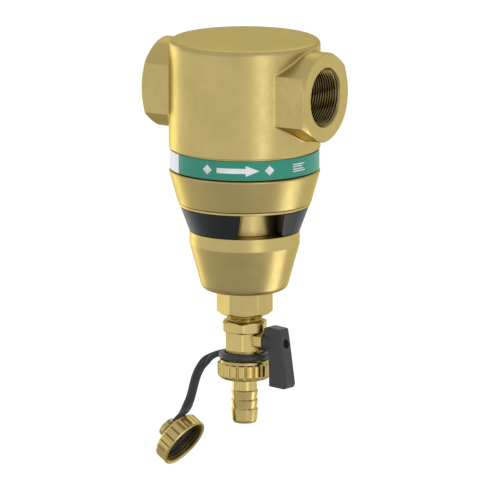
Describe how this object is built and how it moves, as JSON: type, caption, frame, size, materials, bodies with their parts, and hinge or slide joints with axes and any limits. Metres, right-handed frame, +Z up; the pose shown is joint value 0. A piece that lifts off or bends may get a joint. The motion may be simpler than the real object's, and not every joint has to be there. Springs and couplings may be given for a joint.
{
  "type": "magnetic system filter",
  "caption": "Inline magnetic dirt separator: brass housing with two pipe ports, cone, magnet clip round a neck, bowl, ball drain valve with hose tail and strapped cap.",
  "frame": {"origin": "where the axis of the two pipe ports crosses the upright axis of the body", "axes": "+X along the ports, +Z up along the body, towards the closed top"},
  "size_m": [0.108, 0.0874, 0.2527],
  "materials": {
    "satin_brass": "satin, fine blasted forging with machined faces",
    "fitting_brass": "machined, semi-gloss",
    "label": "printed teal film with a white field",
    "clip_plastic": "moulded, fine spark-eroded grain",
    "handle_plastic": "moulded, fine grain",
    "strap_rubber": "moulded rubber, satin",
    "seal_rubber": "moulded rubber, smooth",
    "stainless": "brushed",
    "stainless_mesh": "pleated wire mesh",
    "zinc_steel": "zinc plated",
    "magnet": "nickel plated",
    "ptfe": "smooth PTFE",
    "fibre": "pressed vulcanised fibre"
  },
  "bodies": {
    "housing": {"upper_housing": "satin_brass", "label_band": "label", "cone_housing": "satin_brass", "housing_seal": "seal_rubber", "sludge_bowl": "satin_brass", "bowl_o_ring": "seal_rubber", "cage_top_plate": "stainless", "cage_bottom_plate": "stainless", "coalescing_fins": "stainless_mesh", "cage_rod": "stainless", "cage_nut": "stainless", "drain_adapter": "satin_brass", "adapter_washer": "fibre", "valve_inlet": "fitting_brass", "valve_body": "fitting_brass", "ball_seat_upper": "ptfe", "ball_seat_lower": "ptfe", "stem_seal": "ptfe", "tail_gasket": "seal_rubber", "hose_tail": "fitting_brass"},
    "clip_right": {"clip_jaw_right": "clip_plastic", "clip_cover_right": "clip_plastic", "clip_yoke_right": "zinc_steel", "clip_hinge_pin": "stainless", "clip_magnet_right_1": "magnet", "clip_magnet_right_2": "magnet", "clip_magnet_right_3": "magnet"},
    "clip_left": {"clip_jaw_left": "clip_plastic", "clip_cover_left": "clip_plastic", "clip_yoke_left": "zinc_steel", "clip_magnet_left_1": "magnet", "clip_magnet_left_2": "magnet", "clip_magnet_left_3": "magnet"},
    "lever": {"valve_ball": "stainless", "valve_stem": "fitting_brass", "lever_handle": "handle_plastic", "handle_screw": "zinc_steel"},
    "nut": {"union_nut": "fitting_brass"},
    "strap": {"strap_ring": "strap_rubber", "cap_strap": "strap_rubber", "strap_end_loop": "strap_rubber"},
    "cap": {"cap": "fitting_brass", "cap_gasket": "seal_rubber", "cap_stud": "fitting_brass"}
  },
  "joints": [
    {"name": "lever_turn", "type": "hinge", "parent": "housing", "child": "lever", "pos_m": [0, 0, -0.146], "axis": [0.9925, -0.1219, 0], "range_deg": [-90, 0]},
    {"name": "clip_right_open", "type": "hinge", "parent": "housing", "child": "clip_right", "pos_m": [-0.02064, 0.01892, -0.0741], "axis": [0, 0, 1], "range_deg": [0, 22]},
    {"name": "clip_left_open", "type": "hinge", "parent": "housing", "child": "clip_left", "pos_m": [-0.02064, 0.01892, -0.0741], "axis": [0, 0, 1], "range_deg": [-22, 0]},
    {"name": "nut_spin", "type": "hinge", "parent": "housing", "child": "nut", "pos_m": [0, 0, -0.164], "axis": [0, 0, 1], "continuous": true},
    {"name": "strap_swivel", "type": "hinge", "parent": "housing", "child": "strap", "pos_m": [0, 0, -0.15575], "axis": [0, 0, 1], "range_deg": [-75, 75]},
    {"name": "cap_spin", "type": "hinge", "parent": "strap", "child": "cap", "pos_m": [-0.03339, -0.01097, -0.2102], "axis": [-0.8243, 0.0417, 0.5646], "continuous": true}
  ],
  "couplings": [
    {"joint": "clip_left_open", "follows": "clip_right_open", "ratio": -1}
  ]
}
